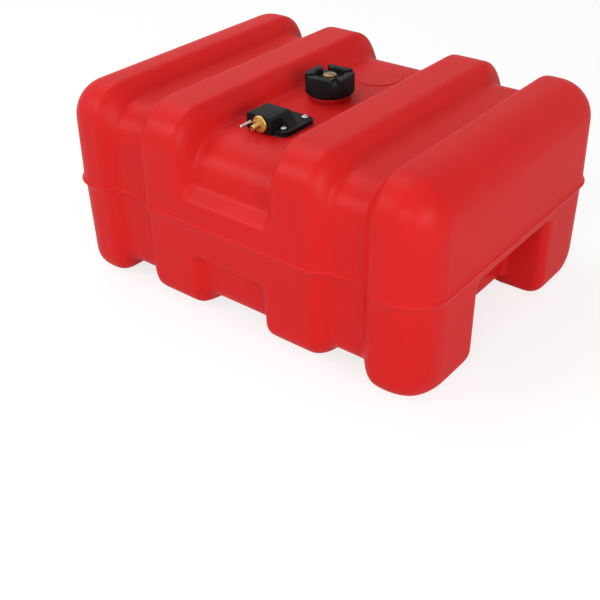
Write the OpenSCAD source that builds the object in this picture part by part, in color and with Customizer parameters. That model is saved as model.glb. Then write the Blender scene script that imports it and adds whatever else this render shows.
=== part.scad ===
// Portable fuel tank for a small boat or workshop engine: a hollow ridged moulding on moulded feet,
// with a vented screw cap and a plug-in fuel outlet. Millimetres, +Z up, origin on the floor under
// the middle of the tank, +X along its length, front towards -Y.

/* [Tank] */
// Length over the end faces at the mould line
tank_len = 500; // [460:5:560]
// Depth from front to back at the mould line
tank_dep = 374; // [340:2:420]
// Height over the ridges
tank_h = 239; // [225:1:260]
// Thickness of the moulded wall
wall = 4; // [3:0.5:6]
// Height of the mould line
seam_z = 119; // [110:1:125]
// Radius of the upright corners and of the ridge ends
end_r = 43; // [34:1:52]
// Radius of the long top edges
edge_r = 44; // [34:1:54]
// Inward lean of the upper walls, as a slope
draft_up = 0.015; // [0:0.005:0.05]
// Inward lean of the lower walls, as a slope
draft_low = 0.006; // [0:0.002:0.05]
// Inward step of the lower half below the mould line
seam_step = 1; // [0.5:0.25:3]
// How far the mould line stands proud
bead = 1.5; // [0.5:0.25:3]
// Height of the mould line bead
bead_h = 8; // [5:1:12]

/* [Strap grooves] */
// Distance of the inner groove wall from the middle
groove_in = 121.5; // [116:0.5:126]
// Distance of the outer groove wall from the middle
groove_out = 182.5; // [178:0.5:186]
// Width of the slope of each groove wall
groove_slope = 18; // [14:1:24]
// Depth of the groove in the front and back faces
groove_depth = 12; // [6:1:16]
// Depth of the groove in the top
groove_drop = 20; // [10:1:26]

/* [Valley and hand recess] */
// Half the width of the valley between the middle ridges
valley_half = 62; // [58:1:70]
// Width of the slope of each valley wall
valley_slope = 16.5; // [12:0.5:24]
// Depth of the valley floor under the ridges
valley_drop = 28; // [20:1:36]
// Radius where the valley rolls over the back edge
valley_back_r = 56; // [44:1:64]
// Height of the outer edge of the hand ledge
ledge_z = 145; // [138:1:152]
// Depth of the hand ledge
ledge_depth = 16; // [10:1:24]
// Rise of the hand ledge towards the back
ledge_rise = 16; // [8:1:20]
// Depth over which the valley rolls down to the ledge
roll_depth = 55; // [45:1:60]
// Radius of the plain moulded disc behind the cap
disc_r = 30; // [22:1:34]
// Height of the plain moulded disc
disc_h = 0.8; // [0.5:0.1:2]
// Distance of the disc behind the cap
disc_y = 98; // [80:1:110]

/* [Feet] */
// Height of the underside of the belly
belly_z = 18; // [16:1:30]
// Radius of the lower edge of the feet
foot_r = 23; // [12:1:26]
// Width of the rounded sides of the feet
foot_side = 23; // [16:1:30]
// How far the middle feet reach into the width of the grooves
foot_lap_in = 8.5; // [0:0.5:12]
// How far the outer feet reach into the width of the grooves
foot_lap_out = 4.5; // [0:0.5:12]
// Inner edge of the middle feet
mid_foot_in = 40; // [38:1:48]
// Height of the middle feet over the floor
mid_foot_z = 6; // [1:1:10]
// Distance of the inner side of the middle feet from the middle
mid_foot_y = 110; // [90:2:125]
// Height of the arches in the end faces
arch_z = 104; // [92:1:107]
// Half the width of the arches
arch_y = 76; // [70:1:95]
// Depth of the arches
arch_depth = 48; // [38:1:58]
// Radius of the upright edges of the arches
arch_edge_r = 11; // [8:1:24]
// Height of the shallow panel low on the front
panel_z = 79; // [70:1:86]
// Half the width of the panel
panel_half = 49; // [40:1:54]
// Depth of the panel
panel_depth = 12; // [4:1:14]

/* [Filler neck and cap] */
// Position of the filler along the length
filler_x = -9; // [-15:1:15]
// Position of the filler along the depth
filler_y = 13; // [0:1:25]
// Bore radius of the filler neck
neck_bore_r = 18.5; // [15:0.5:19]
// Outside radius of the neck over its thread
neck_r = 23; // [22:0.5:24]
// Radius of the round seat at the foot of the neck
seat_r = 24.5; // [24.5:0.5:28]
// Height of the seat
seat_h = 5.6; // [4:0.2:5.6]
// Height of the neck over the tank
neck_h = 17.8; // [17:0.2:24]
// Outside radius of the cap
cap_r = 28.4; // [28:0.2:32]
// Height of the cap skirt up to the well
cap_h = 16; // [13:0.5:16]
// Height of the crown over the well
crown_h = 6.2; // [5:0.2:9]
// Radius of the well in the crown
well_r = 17; // [14:0.5:20]
// Distance of the flat sides of the crown from its middle
crown_flat = 25; // [23:0.5:27]
// Width of the notches in the crown
notch_w = 8; // [5:0.5:12]
// Direction of the first notch
notch_turn = 50; // [0:5:90]
// Radial clearance of the thread
thread_gap = 0.35; // [0.3:0.05:0.6]
// Thickness of the cap roof
roof_t = 2.4; // [2:0.2:3.6]
// Thickness of the cap gasket
gasket_t = 2.2; // [1.5:0.1:3]

/* [Vent screw] */
// Radius of the vent screw head
vent_head_r = 7.8; // [6:0.2:9]
// Height of the vent screw head
vent_head_h = 4; // [3:0.1:5]
// Radius of the vent screw shank
vent_shank_r = 2.9; // [2:0.1:3.5]
// Outside radius of the threaded bush
bush_r = 5; // [4.5:0.1:6]
// Thickness of the vent washer
washer_t = 1.2; // [0.8:0.1:2]
// How far the vent screw can rise
vent_rise = 2.5; // [1:0.25:4]

/* [Fuel outlet] */
// Width of the outlet block
block_w = 34; // [32:1:35]
// Depth of the outlet block
block_dep = 33; // [28:1:38]
// Height of the outlet block over its gasket
block_h = 18; // [16:0.5:22]
// Position of the front face of the block
block_front = -112; // [-114:1:-106]
// Position of the left side of the block
block_left = -26; // [-30:1:-22]
// Thickness of the flange
flange_t = 4; // [3:0.5:6]
// Right side of the flange
flange_right = 23.5; // [22:0.5:27]
// Back of the flange
flange_back = -55; // [-57:1:-48]
// Corner radius of the flange
flange_r = 9; // [6:0.5:10]
// Thickness of the outlet gasket
outlet_gasket_t = 1.5; // [1:0.25:3]
// Distance of the nozzle from the left side of the block
nozzle_in = 19; // [18:0.5:21]
// Radius of the brass plate of the nipple
plate_r = 9.5; // [8:0.25:9.5]
// Thickness of the brass plate
plate_t = 2.4; // [1.5:0.1:3]
// Radius of the fuel nozzle
nozzle_r = 3; // [2.5:0.1:4]
// Length of the nozzle in front of the plate
nozzle_len = 11; // [8:0.5:16]
// Fuel bore radius in the nozzle
fuel_bore_r = 1.7; // [1:0.1:2]
// Distance of the guide pin from the nozzle
pin_off = 12.5; // [11.5:0.25:14]
// Radius of the guide pin
pin_r = 1.6; // [1:0.1:2]
// Length of the guide pin in front of the block
pin_len = 18; // [12:0.5:22]
// Radius of the screw thread
screw_r = 2.5; // [2:0.25:3]
// Radius of the screw head
screw_head_r = 3.9; // [3.5:0.1:4.5]
// Length of the screws under the head
screw_len = 13; // [11:0.5:14]

/* [Pickup] */
// Outside radius of the pickup tube
tube_r = 4.5; // [4:0.25:5]
// Wall of the pickup tube
tube_wall = 1.2; // [0.8:0.1:1.5]
// Clearance of the strainer over the tank bottom
strainer_gap = 4; // [2:0.5:10]
// Radius of the strainer
strainer_r = 9; // [7:0.5:10]
// Height of the strainer
strainer_h = 18; // [12:1:24]

/* [Fits] */
// Radial clearance of parts that are pushed together
push_fit = 0.1; // [0.05:0.05:0.2]
// Radial clearance of the vent screw in its bush
run_fit = 0.08; // [0.04:0.01:0.1]

/* [Hidden] */
$fn = 64;
eps = 0.01;

// Tank frame
half_len = tank_len / 2;
half_dep = tank_dep / 2;
foot_gap_in = groove_in + foot_lap_in;
foot_gap_out = groove_out - foot_lap_out;
foot_gap_mid = (foot_gap_in + foot_gap_out) / 2;
floor_z = tank_h - valley_drop;
// Angle at which the end rounding stops short of the end face
end_start = 10;
// Segments of the edge roundings and of the foot roundings
arc_n = 6;
toe_n = 4;
heel_n = 2;
// Radius of the inner lower edge of the feet
heel_r = 10;
// Step from the edge of the belly up to its middle
belly_step = 1;
// Height of the slope at the top of the front panel
panel_slope = 6;
// Share of the corner rounding that lifts the outer end of the end feet
tip_lift = 0.7;
// Power of the flanks beside the ridges, which is 1 for a straight flank
shoulder = 1.6;
// Distance past the wall slopes that still gets close columns
column_room = 8;
// Places of the columns on the steep inner side of the middle feet, as shares of its width
foot_steps = [0, 0.06, 0.2];
// Half the width of the step at the back of an arch
arch_step = 0.5;
// Columns along each slope, outside and inside
skin_n = 7;
cavity_n = 4;

// Cap levels
neck_top = floor_z + neck_h;
gasket_top = neck_top + gasket_t;
roof_z = gasket_top;
well_z = roof_z + roof_t;
cap_bottom = well_z - cap_h;
cap_top = well_z + crown_h;
cap_bore_r = neck_r + thread_gap;
gasket_relief = 1.2;
cap_chamfer = 2.4;
cap_edge = 1.2;
rim_edge = 0.8;
neck_hole_r = neck_r;
spigot_drop = 3;

// Vent levels
bush_len = 8;
bush_wall = 3;
bush_bottom = well_z - bush_len;
head_z = well_z + washer_t;
clip_t = 1;
clip_r = 4.6;
clip_gap = 0.2;
clip_top = bush_bottom - vent_rise - clip_gap;
shank_end = clip_top - clip_t - 1.5;
vent_hole_r = 1;

// Outlet levels
flange_z = floor_z + outlet_gasket_t;
block_top = flange_z + block_h;
block_right = block_left + block_w;
nozzle_x = block_left + nozzle_in;
nozzle_z = flange_z + block_h / 2;
flange_front = block_front + flange_r / 3;
screw_in = 10.5;
screw_back_in = 6.5;
screw_spots = [
    [flange_right - screw_in, flange_front + screw_in],
    [flange_right - screw_in, flange_back - screw_back_in],
    [block_left + screw_in, flange_back - screw_back_in]];
tube_x = nozzle_x;
tube_y = block_front + block_dep - tube_r - 5;
socket_top = nozzle_z + tube_r / 2;
outlet_hole_r = 11;
outlet_spigot_r = outlet_hole_r - 0.5;
insert_r = 3.6;
insert_len = 11;
boss_r = 6.5;
boss_h = 10;
shank_r = 6;
shank_len = 12;
seal_t = 1.6;
seal_r = 8;
pin_hold = 10;
pin_collar_r = pin_r + 0.5;
pin_collar_len = plate_t + 0.6;
screw_head_h = 2.8;
slot_w = 1.2;
slot_dep = 1.4;
strainer_wall = 1.2;
strainer_top = belly_z + wall + strainer_gap + strainer_h;
tube_end = strainer_top - strainer_h / 2;

// Smooth step from 0 to 1
function ease(t) = let(u = max(0, min(1, t))) u * u * (3 - 2 * u);

// Rises from 0 to 1 over a width around a middle
function ramp(x, mid, width) = ease((x - mid) / width + 0.5);

// Falls from a rounded shoulder at 0 to a crisp foot at 1
function flank(t) = pow(max(0, min(1, t)), shoulder);

// Quarter round that falls from 1 to 0, upright at its start
function bow(t) = let(u = max(0, min(1, t))) 1 - sqrt(1 - (1 - u) * (1 - u));

// Sagitta of a radius r at u beyond the start of its arc
function sag(r, u) = let(v = max(0, min(r, u))) r - sqrt(r * r - v * v);

function spread(from, to, count) = [for (k = [0:count - 1]) from + (to - from) * k / count];
function flip(list) = [for (k = [len(list) - 1:-1:0]) list[k]];

// A face seen from its other side, with the same first corner
function turned(face) = [for (k = [0:len(face) - 1]) face[(len(face) - k) % len(face)]];

// Inset of the whole section near the end faces, where o is the depth under the outer skin
function end_bite(x, o) =
    let(r = end_r - o)
    sag(r, abs(x) - (half_len - o - r * cos(end_start)));

// Weights of the grooves and of the valley across the length
function groove_at(x, o) =
    let(inside = min(abs(x) - groove_in, groove_out - abs(x)) + o / 2)
    flank(inside / groove_slope + 0.5);
function valley_at(x, o) = flank((valley_half + o / 2 - abs(x)) / valley_slope + 0.5);

// Lean of the walls over and under the mould line
function lean_up(z) = draft_up * (z - seam_z);
function lean_low(z) = seam_step + draft_low * (seam_z - z);

// Upper half of a section, from the mould line to the top, as points of [lean, inset, height]
function upper_profile(x, o, front) =
    let(e = end_bite(x, o))
    let(g = groove_at(x, o))
    let(v = valley_at(x, o))
    let(b = o > 0 ? 0 : bead)
    let(crest = tank_h - o - e - groove_drop * g)
    let(top = front ? crest : crest - valley_drop * v)
    let(base = o + e + groove_depth * g)
    let(back_r = edge_r + (valley_back_r - edge_r) * v)
    let(low = ledge_z + ledge_rise - o)
    let(r = min(((front ? edge_r : back_r) - o) * (1 - e / (end_r - o)), top - low - 1))
    let(seam = [[-b, base, seam_z + bead_h / 4], [lean_up(seam_z + bead_h), base, seam_z + bead_h]])
    let(rise = [for (z = [ledge_z - o, low]) [lean_up(z), base, z]])
    let(arc = [for (k = [0:arc_n])
        let(a = 90 * k / arc_n)
        let(z = top - r + r * sin(a))
        [lean_up(z), base + r * (1 - cos(a)), z]])
    let(ledge = [rise[0], [lean_up(low), base + ledge_depth, low]])
    let(roll = [for (k = [0:arc_n])
        let(a = 90 * (k + 1) / (arc_n + 1))
        let(z = low + (crest - valley_drop - low) * sin(a))
        [lean_up(z), base + ledge_depth + roll_depth * (1 - cos(a)), z]])
    let(ridge = concat(rise, arc))
    let(dip = concat(ledge, roll))
    let(w = front ? v : 0)
    concat(seam, [for (k = [0:len(ridge) - 1]) ridge[k] * (1 - w) + dip[k] * w]);

// Height of the ground line of the feet, with their sides moved in by o
function foot_z(x, o) =
    let(ax = abs(x))
    let(mid = min((ax - mid_foot_in - o) / foot_side, (foot_gap_in - o - ax) / foot_side))
    ax > foot_gap_mid
        ? max(
            (belly_z - belly_step) * bow((ax - foot_gap_out - o) / foot_side),
            tip_lift * sag(foot_r, ax - (half_len - o - foot_r)))
        : mid_foot_z + (belly_z - belly_step - mid_foot_z) * bow(mid);

// Lower half of a section, from the mould line over the foot to the belly
function lower_profile(x, o, front) =
    let(ax = abs(x))
    let(e = end_bite(x, o))
    let(b = o > 0 ? 0 : bead)
    let(base = o + e + groove_depth * groove_at(x, o))
    let(roof = (ax > half_len - arch_depth - o ? arch_z : belly_z) + o)
    let(ground = o + foot_z(ax, o))
    let(dent = front ? panel_depth * (1 - ramp(ax, panel_half + o / 2, foot_side / 2)) : 0)
    let(seam = [[-b, base, seam_z - bead_h / 4], [lean_low(seam_z - bead_h), base, seam_z - bead_h]])
    let(high = panel_z + o)
    let(low = high - panel_slope)
    let(panel = [[lean_low(high), base, high], [lean_low(low), base + dent, low]])
    let(toe = [for (k = [0:toe_n])
        let(a = 90 * k / toe_n)
        let(z = ground + foot_r * (1 - sin(a)))
        [lean_low(z), base + dent + foot_r * (1 - cos(a)), z]])
    let(flare = sag(arch_edge_r, arch_edge_r - (half_len - o - ax)))
    let(inner = o + (ax > foot_gap_mid ? arch_y + flare : mid_foot_y))
    let(r = min(heel_r, (roof - ground) / 2))
    let(heel = [for (k = [0:heel_n])
        let(a = 90 * k / heel_n)
        let(z = ground + r * (1 - cos(a)))
        [lean_low(z), half_dep - lean_low(z) - inner - r * (1 - sin(a)), z]])
    concat(seam, panel, toe, heel, [[lean_low(roof), half_dep - lean_low(roof) - inner, roof]]);

// One closed section of the tank at x
function place(x, p, side) = [x * (1 - p[0] / half_len), side * (half_dep - p[0] - p[1]), p[2]];
function section(x, o) =
    concat(
        [for (p = upper_profile(x, o, true)) place(x, p, -1)],
        [for (p = flip(upper_profile(x, o, false))) place(x, p, 1)],
        [for (p = lower_profile(x, o, false)) place(x, p, 1)],
        [for (p = flip(lower_profile(x, o, true))) place(x, p, -1)]);

// Stations of the sections, close together on the slopes
function half_stations(o, n) =
    let(arch = half_len - arch_depth - o)
    let(valley = valley_half - valley_slope / 2)
    concat(
        [0],
        [for (t = foot_steps) min(mid_foot_in + o + foot_side * t, valley - 2 + 5 * t)],
        spread(valley, valley_half + valley_slope / 2 + column_room, n),
        spread(foot_gap_in - foot_side, max(foot_gap_in, groove_in + groove_slope / 2), n),
        [max(foot_gap_in, groove_in + groove_slope / 2)],
        spread(groove_out - groove_slope / 2, min(foot_gap_out + foot_side, arch - column_room / 2), n),
        [arch - arch_step, arch + arch_step],
        [for (k = [1:n])
            let(a = 90 - (90 - end_start) * k / n)
            half_len - o - (end_r - o) * (cos(end_start) - cos(a))]);
function stations(o, n) =
    let(half = half_stations(o, n))
    concat([for (x = flip(half)) if (x > 0) -x], half);

// Closed body of the tank, o under its outer skin
module skin(o, n) {
    xs = stations(o, n);
    last = len(xs) - 1;
    u = len(upper_profile(0, o, true));
    l = len(lower_profile(0, o, true));
    m = 2 * (u + l);
    roof = 2 * u + l;
    points = [for (x = xs) each section(x, o)];
    sides = [for (i = [0:last - 1]) for (k = [0:m - 1])
        let(j = (k + 1) % m)
        each [[i * m + k, i * m + j, (i + 1) * m + j], [i * m + k, (i + 1) * m + j, (i + 1) * m + k]]];
    over = [for (k = [0:u - 2]) [k, k + 1, 2 * u - 2 - k, 2 * u - 1 - k]];
    seam = [[m - 1, 0, 2 * u - 1, 2 * u], [m - 2, m - 1, 2 * u, 2 * u + 1]];
    arch = [[2 * u + 1, roof - 1, roof, m - 2]];
    feet = [[for (k = [roof - 1, each [2 * u + 1:roof - 2]]) k], [for (k = [roof:m - 2]) k]];
    end = concat(over, seam, arch, feet);
    ends = concat([for (f = end) turned(f)], [for (f = end) [for (k = f) last * m + k]]);
    polyhedron(points, concat(sides, ends), convexity = 12);
}

// Upright cylinder from one height to another
module post(r, from, to) {
    translate([0, 0, from]) cylinder(r = r, h = to - from);
}

// Moves what is drawn round the Z axis to the filler
module at_filler() {
    translate([filler_x, filler_y, 0]) children();
}

// Hollow moulding
module tank_shell() color("#d42a2a") difference() {
    union() {
        difference() {
            skin(0, skin_n);
            skin(wall, cavity_n);
        }
        translate([0, disc_y, 0]) post(disc_r, floor_z - wall / 2, floor_z + disc_h);
        for (p = screw_spots) translate(p) post(boss_r, floor_z - wall - boss_h, floor_z - wall / 2);
    }
    at_filler() post(neck_hole_r, floor_z - 2 * wall, floor_z + wall);
    translate([tube_x, tube_y, 0]) post(outlet_hole_r, floor_z - 2 * wall, floor_z + wall);
    for (p = screw_spots) translate(p) post(insert_r + push_fit, floor_z - insert_len - 1, floor_z + wall);
}

// Threaded neck, drawn over the crests of its thread, with the seat that rests on the tank
module filler_neck() color("#c92626") at_filler() rotate_extrude() polygon([
    [neck_bore_r, floor_z - wall - spigot_drop],
    [neck_hole_r - push_fit, floor_z - wall - spigot_drop],
    [neck_hole_r - push_fit, floor_z],
    [seat_r, floor_z],
    [seat_r, floor_z + seat_h - cap_edge],
    [seat_r - cap_edge, floor_z + seat_h],
    [neck_r, floor_z + seat_h],
    [neck_r, neck_top - cap_edge],
    [neck_r - cap_edge, neck_top],
    [neck_bore_r, neck_top]]);

// Cuts the four leaning sides, the well and the corner notches out of the crown
module crown_cuts() {
    lean = atan((cap_r - crown_flat) / (cap_top - cap_bottom - cap_chamfer));
    post(well_r, well_z, cap_top + 1);
    for (k = [0:3]) rotate([0, 0, 90 * k]) {
        translate([crown_flat, -cap_r, cap_top]) rotate([0, -lean, 0])
            translate([0, 0, -2 * cap_h]) cube([cap_r, 2 * cap_r, 3 * cap_h]);
        rotate([0, 0, 45]) translate([0, -notch_w / 2, well_z]) cube([cap_r + 1, notch_w, crown_h + 1]);
    }
}

// Screw cap with a notched crown round a well
module cap_body() color("#1d1d1f") at_filler() difference() {
    rotate_extrude() polygon([
        [0, bush_bottom + 1],
        [bush_r + bush_wall, bush_bottom + 1],
        [bush_r + bush_wall, roof_z],
        [cap_bore_r + gasket_relief, roof_z],
        [cap_bore_r + gasket_relief, neck_top - 1],
        [cap_bore_r, neck_top - 1 - gasket_relief],
        [cap_bore_r, cap_bottom],
        [cap_r - cap_chamfer, cap_bottom],
        [cap_r, cap_bottom + cap_chamfer],
        [cap_r, cap_top],
        [0, cap_top]]);
    rotate([0, 0, notch_turn - 45]) crown_cuts();
    post(bush_r + push_fit, bush_bottom - 1, well_z + 1);
}

// Flat seal that lies in the cap over the rim of the neck
module cap_gasket() color("#2b2b2b") at_filler() difference() {
    post(cap_bore_r + gasket_relief / 2, neck_top, gasket_top);
    post(neck_bore_r + 1, neck_top - 1, gasket_top + 1);
}

// Threaded brass bush in the cap
module vent_bush() color("#b08d4a") at_filler() difference() {
    post(bush_r, bush_bottom, well_z);
    post(vent_shank_r + run_fit, bush_bottom - 1, well_z + 1);
}

// Vent screw with a slotted head and a breather hole
module vent_screw() color("#c5a55a") at_filler() difference() {
    rotate_extrude() polygon([
        [0, shank_end],
        [vent_shank_r - rim_edge, shank_end],
        [vent_shank_r, shank_end + rim_edge],
        [vent_shank_r, head_z],
        [vent_head_r, head_z],
        [vent_head_r, head_z + vent_head_h - rim_edge],
        [vent_head_r - rim_edge, head_z + vent_head_h],
        [0, head_z + vent_head_h]]);
    post(vent_hole_r, shank_end - 1, head_z + vent_head_h / 3);
    translate([-vent_head_r - 1, -slot_w / 2, head_z + vent_head_h - slot_dep])
        cube([2 * vent_head_r + 2, slot_w, slot_dep + 1]);
}

// Seal under the head of the vent screw
module vent_washer() color("#303030") at_filler() difference() {
    post(vent_head_r - rim_edge, well_z, head_z);
    post(vent_shank_r + run_fit, well_z - 1, head_z + 1);
}

// Retaining ring under the bush
module vent_clip() color("#b9bcc0") at_filler() difference() {
    post(clip_r, clip_top - clip_t, clip_top);
    post(vent_shank_r + run_fit / 2, clip_top - clip_t - 1, clip_top + 1);
}

// Outline of the flange, seen from above
module flange_outline() {
    w = flange_right - block_left;
    d = flange_back - flange_front;
    translate([block_left, flange_front]) {
        translate([flange_r, 0]) square([w - 2 * flange_r, d]);
        translate([0, flange_r]) square([w, d - 2 * flange_r]);
        for (x = [flange_r, w - flange_r]) for (y = [flange_r, d - flange_r])
            translate([x, y]) circle(r = flange_r);
    }
}

// Bores that pass through the flange and its gasket
module flange_holes(r) {
    for (p = screw_spots) translate(p) post(r, floor_z - 1, flange_z + flange_t + 1);
}

// Outlet block with a sloped web down to its flange
module outlet_body() color("#18181a") difference() {
    flange_top = flange_z + flange_t;
    block_back = block_front + block_dep;
    web_right = flange_right - screw_in / 2;
    union() {
        translate([0, 0, flange_z]) linear_extrude(flange_t) flange_outline();
        translate([0, block_back, 0]) rotate([90, 0, 0]) linear_extrude(block_dep)
            polygon([
                [block_left, flange_z],
                [block_right, flange_z],
                [block_right, block_top - 2 * cap_edge],
                [block_right - 2 * cap_edge, block_top],
                [block_left + cap_edge, block_top],
                [block_left, block_top - cap_edge]]);
        translate([0, block_back, 0]) rotate([90, 0, 0]) linear_extrude(block_dep / 2)
            polygon([
                [block_left + cap_edge, flange_z],
                [web_right, flange_z],
                [web_right, flange_top],
                [block_right - 2 * cap_edge, block_top - eps],
                [block_left + cap_edge, block_top - eps]]);
        translate([tube_x, tube_y, 0]) post(outlet_spigot_r, floor_z - wall, flange_z + eps);
    }
    translate([nozzle_x, block_front, nozzle_z]) rotate([-90, 0, 0]) {
        translate([0, 0, -1]) cylinder(r = seal_r + push_fit, h = 1 + seal_t);
        translate([0, 0, -1]) cylinder(r = shank_r + push_fit, h = 1 + seal_t + shank_len);
        cylinder(r = fuel_bore_r, h = tube_y - block_front);
    }
    translate([nozzle_x - pin_off, block_front - 1, nozzle_z]) rotate([-90, 0, 0])
        cylinder(r = pin_collar_r + push_fit, h = pin_hold + 1);
    translate([tube_x, tube_y, 0]) post(tube_r + push_fit, floor_z - wall - 1, socket_top);
    flange_holes(screw_r + 2 * push_fit);
    for (p = screw_spots) translate(p) post(screw_head_r + 0.5, flange_top, block_top + 1);
}

// Seal under the flange
module outlet_gasket() color("#262626") difference() {
    translate([0, 0, floor_z]) linear_extrude(outlet_gasket_t) flange_outline();
    flange_holes(screw_r + 2 * push_fit);
    translate([tube_x, tube_y, 0]) post(outlet_hole_r, floor_z - 1, flange_z + 1);
}

// Brass plate with the fuel nozzle and its threaded shank
module fuel_nipple() color("#c8a04e") translate([nozzle_x, block_front, nozzle_z]) rotate([90, 0, 0])
    difference() {
        rotate_extrude() polygon([
            [0, -seal_t - shank_len],
            [shank_r, -seal_t - shank_len],
            [shank_r, 0],
            [plate_r, 0],
            [plate_r, plate_t - rim_edge],
            [plate_r - rim_edge, plate_t],
            [nozzle_r, plate_t],
            [nozzle_r, plate_t + nozzle_len - rim_edge],
            [nozzle_r - rim_edge, plate_t + nozzle_len],
            [0, plate_t + nozzle_len]]);
        translate([0, 0, -seal_t - shank_len - 1])
            cylinder(r = fuel_bore_r, h = seal_t + shank_len + plate_t + nozzle_len + 2);
    }

// O-ring behind the brass plate
module nipple_seal() color("#2b2b2b") translate([nozzle_x, block_front, nozzle_z]) rotate([-90, 0, 0])
    rotate_extrude() translate([(shank_r + seal_r + push_fit) / 2, seal_t / 2])
        circle(d = min(seal_t, seal_r - shank_r) - push_fit);

// Steel pin that guides the hose plug, on a thicker collar that is pressed into the block
module guide_pin() color("#b9bcc0") translate([nozzle_x - pin_off, block_front, nozzle_z]) rotate([90, 0, 0])
    rotate_extrude() polygon([
        [0, -pin_hold],
        [pin_collar_r, -pin_hold],
        [pin_collar_r, pin_collar_len],
        [pin_r, pin_collar_len],
        [pin_r, pin_len - rim_edge],
        [pin_r - rim_edge, pin_len],
        [0, pin_len]]);

// Slotted pan head screws of the flange
module flange_screws() color("#c9ccd0") for (p = screw_spots) translate([p[0], p[1], flange_z + flange_t])
    difference() {
        rotate_extrude() polygon([
            [0, -screw_len],
            [screw_r - rim_edge, -screw_len],
            [screw_r, rim_edge - screw_len],
            [screw_r, 0],
            [screw_head_r, 0],
            [screw_head_r, screw_head_h / 2],
            [screw_head_r - 2 * rim_edge, screw_head_h],
            [0, screw_head_h]]);
        translate([-screw_head_r - 1, -slot_w / 2, screw_head_h - slot_dep])
            cube([2 * screw_head_r + 2, slot_w, slot_dep + 1]);
    }

// Threaded brass inserts in the tank
module screw_inserts() color("#b08d4a") for (p = screw_spots) translate(p) difference() {
    post(insert_r, floor_z - insert_len, floor_z);
    post(screw_r + push_fit, floor_z - insert_len + 1, floor_z + 1);
}

// Suction tube from the outlet to the strainer
module pickup_tube() color("#34343a") translate([tube_x, tube_y, 0]) difference() {
    post(tube_r, tube_end, socket_top);
    post(tube_r - tube_wall, tube_end - 1, socket_top + 1);
}

// Strainer cup with slots, pushed on to the lower end of the tube
module pickup_strainer() color("#e4e0d4") translate([tube_x, tube_y, 0]) difference() {
    post(strainer_r, strainer_top - strainer_h, strainer_top);
    post(strainer_r - strainer_wall, strainer_top - strainer_h + strainer_wall, tube_end);
    post(tube_r + push_fit, tube_end - 1, strainer_top + 1);
    for (k = [0:3]) rotate([0, 0, 45 * k])
        translate([-strainer_r - 1, -slot_w / 2, strainer_top - strainer_h + 2 * strainer_wall])
            cube([2 * strainer_r + 2, slot_w, tube_end - strainer_top + strainer_h - 3 * strainer_wall]);
}

tank_shell();
filler_neck();
cap_body();
cap_gasket();
vent_bush();
vent_screw();
vent_washer();
vent_clip();
outlet_body();
outlet_gasket();
fuel_nipple();
nipple_seal();
guide_pin();
flange_screws();
screw_inserts();
pickup_tube();
pickup_strainer();
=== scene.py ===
"""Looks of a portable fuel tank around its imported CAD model.

The moulding, the cap, the outlet and the metal fittings are remade here with the soft edges of the real
pieces and dressed with procedural finishes. Lengths are metres in the CAD model's frame: +Z up, the front
towards -Y, the origin on the floor under the middle of the tank.
"""

from __future__ import annotations

import logging
import math
from dataclasses import dataclass
from enum import Enum
from typing import Any, Iterable

import bmesh
import bpy
from mathutils import Matrix, Vector


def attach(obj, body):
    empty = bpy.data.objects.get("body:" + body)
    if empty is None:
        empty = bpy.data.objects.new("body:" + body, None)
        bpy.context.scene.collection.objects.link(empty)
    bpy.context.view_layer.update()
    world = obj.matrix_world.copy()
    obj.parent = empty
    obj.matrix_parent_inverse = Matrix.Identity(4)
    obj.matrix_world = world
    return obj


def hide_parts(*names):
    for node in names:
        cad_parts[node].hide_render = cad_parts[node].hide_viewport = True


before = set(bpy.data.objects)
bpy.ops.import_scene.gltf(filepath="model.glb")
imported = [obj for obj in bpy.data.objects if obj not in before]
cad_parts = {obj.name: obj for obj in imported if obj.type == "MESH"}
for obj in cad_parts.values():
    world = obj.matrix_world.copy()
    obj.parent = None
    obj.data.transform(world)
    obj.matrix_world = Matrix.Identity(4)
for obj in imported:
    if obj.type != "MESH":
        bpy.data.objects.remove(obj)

LOG = logging.getLogger("fuel_tank")
MM = 0.001
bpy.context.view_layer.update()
BEAD_STEPS = (0.2, 0.4, 0.6, 0.8, 1.0)
PANEL_STEPS = (0.0, 0.25, 0.5, 0.75, 1.0)
# The lip under the mould line: where it starts and how high it is, as shares of the bead's height, and the
# share of it that stays straight.
LIP_START, LIP_SPAN, LIP_STRAIGHT = 0.1, 0.5, 0.25
FLANK_POWER = 1.6
# Distances at which points are joined in a copied node, a spun piece and the loft, and the width of a cut.
WELD = 0.002 * MM
SPIN_WELD = 0.005 * MM
LOFT_WELD = 0.01 * MM
CUT = 0.001 * MM
# Angle under which two faces count as one flat face.
FLAT_DEG = 0.5
# Sockets of the colour mix node: its two colours and its result.
MIX_A, MIX_B, MIX_RESULT = 6, 7, 2
WHITE = "#ffffff"
# Place of the filler's axis, the height of the valley floor and a point on the nozzle's axis.
FILLER_X, FILLER_Y = -9 * MM, 13 * MM
VALLEY_FLOOR = 211 * MM
NOZZLE_AXIS = (-7 * MM, 0.0, 221.5 * MM)

Point = tuple[float, float, float]


class Body(Enum):
    """Bodies of the CAD model that a piece can ride on."""

    TANK = "tank"
    CAP = "cap"
    VENT = "vent"


class Slot(Enum):
    """Material slots of the record, listed beside some pieces made here but not given to them."""

    RED = "red_plastic"
    BLACK = "black_plastic"
    BRASS = "brass"
    STEEL = "steel"


class Axis(Enum):
    """Axis of a turned piece, as the wave texture names it."""

    Y = "Y"
    Z = "Z"


def linear(colour: str) -> tuple[float, float, float, float]:
    """Turns an sRGB hex colour into linear light.

    Args:
        colour: Colour as "#rrggbb".

    Returns:
        Linear red, green and blue with an alpha of 1.
    """
    channels = [int(colour[k : k + 2], 16) / 255 for k in (1, 3, 5)]
    red, green, blue = (c / 12.92 if c <= 0.04045 else ((c + 0.055) / 1.055) ** 2.4 for c in channels)
    return red, green, blue, 1.0


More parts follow.
